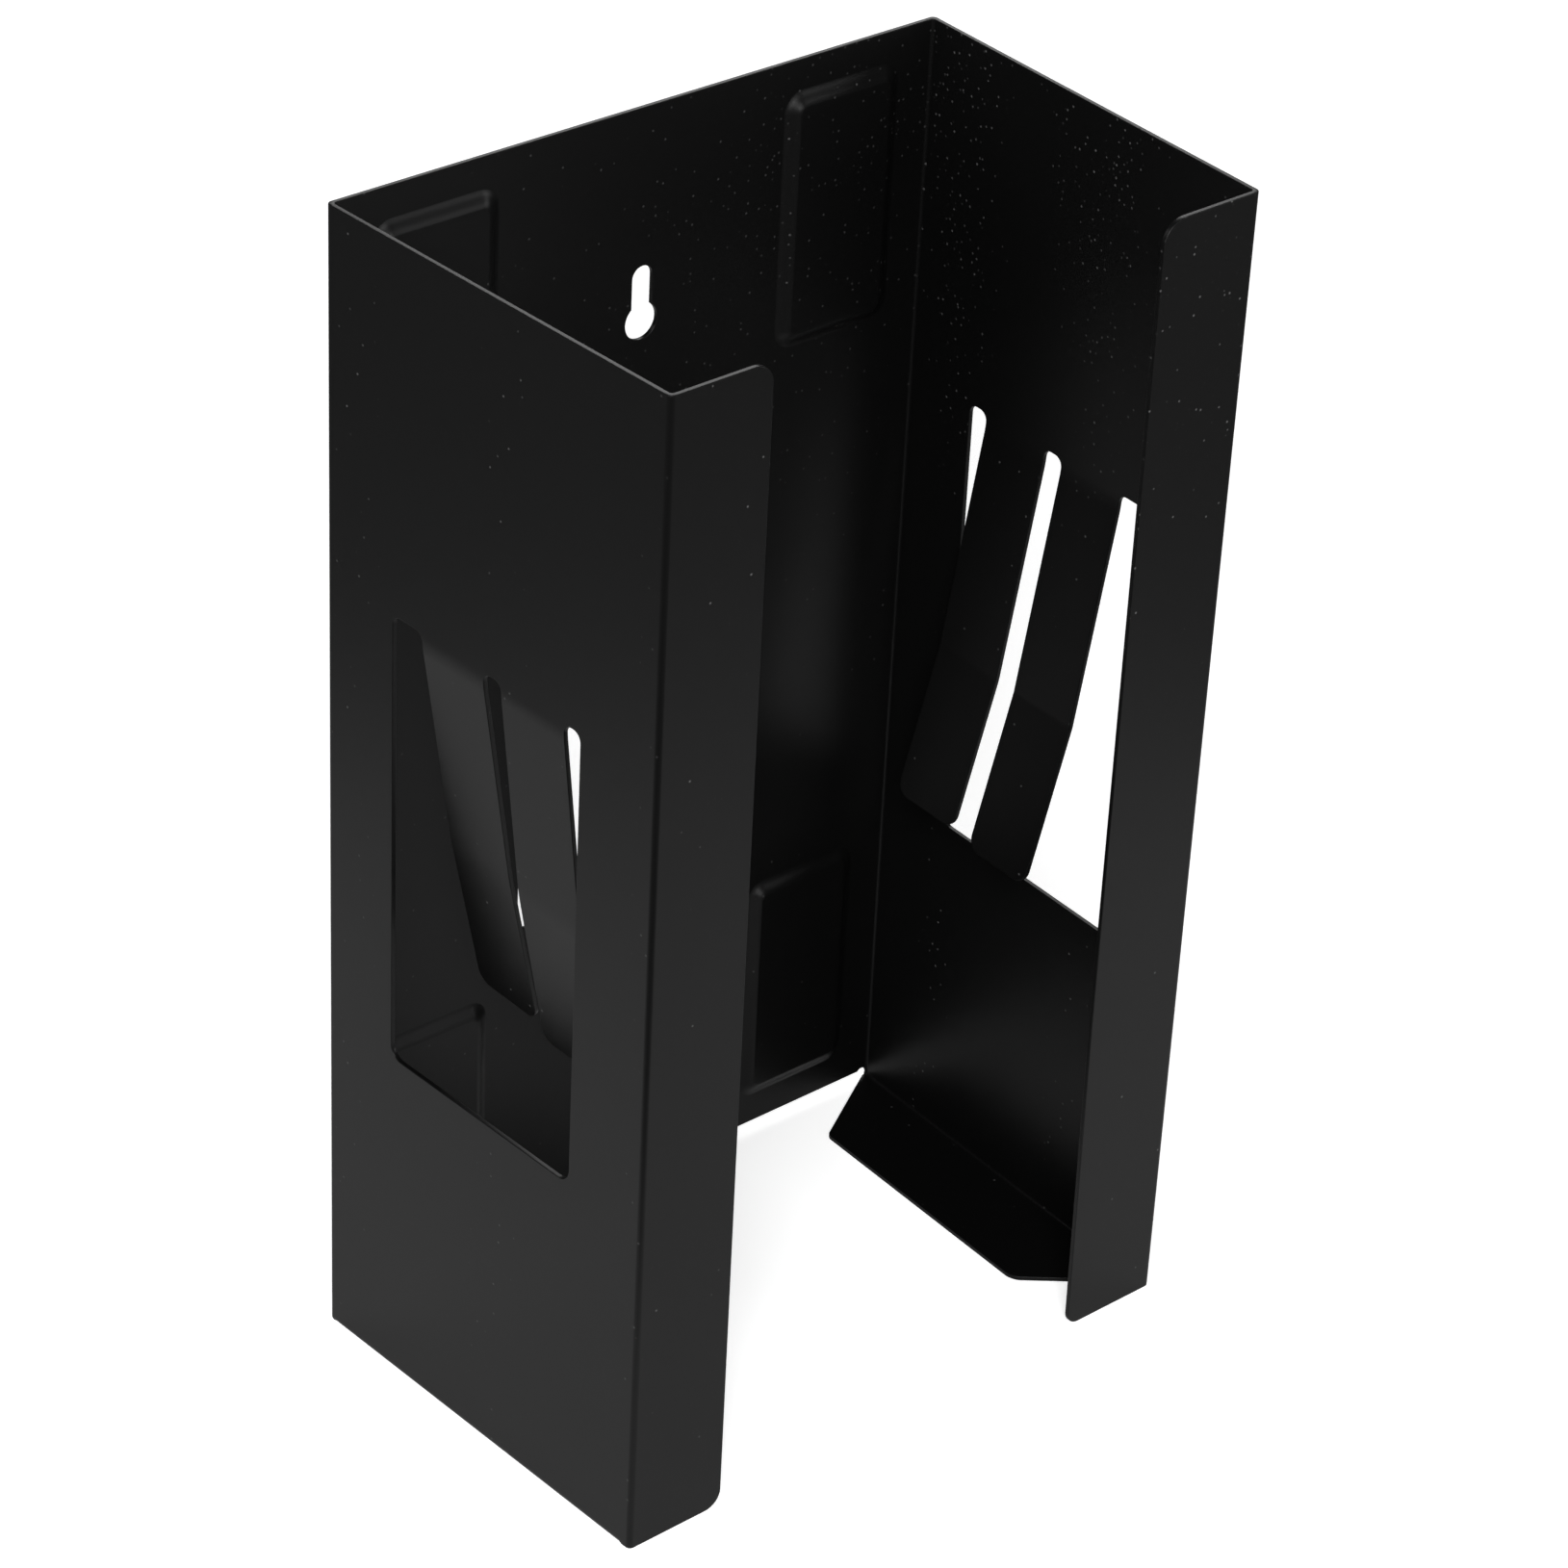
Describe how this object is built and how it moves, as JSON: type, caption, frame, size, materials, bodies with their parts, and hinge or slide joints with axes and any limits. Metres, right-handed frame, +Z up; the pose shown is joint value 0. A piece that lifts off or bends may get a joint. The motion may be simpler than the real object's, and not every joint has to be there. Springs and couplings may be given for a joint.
{
  "type": "magnetic wall box holder",
  "caption": "Upright folded-sheet holder for a tissue or glove box, open at the front and top, with sprung side tongues, base lips and magnets behind its back.",
  "frame": {"origin": "middle of the outer box at the underside of the base lips", "axes": "+Z up, +Y towards the wall, +X to the holder's left-hand neighbour as seen from the wall, which is the right side seen from the open front"},
  "size_m": [0.1444, 0.093, 0.25],
  "materials": {
    "powder_coat": "satin black powder coat",
    "magnet": "matte rubber-bonded magnet"
  },
  "bodies": {
    "root": {"holder_body": "powder_coat", "magnet_upper_left": "magnet", "magnet_upper_right": "magnet", "magnet_lower_left": "magnet", "magnet_lower_right": "magnet"}
  },
  "joints": []
}
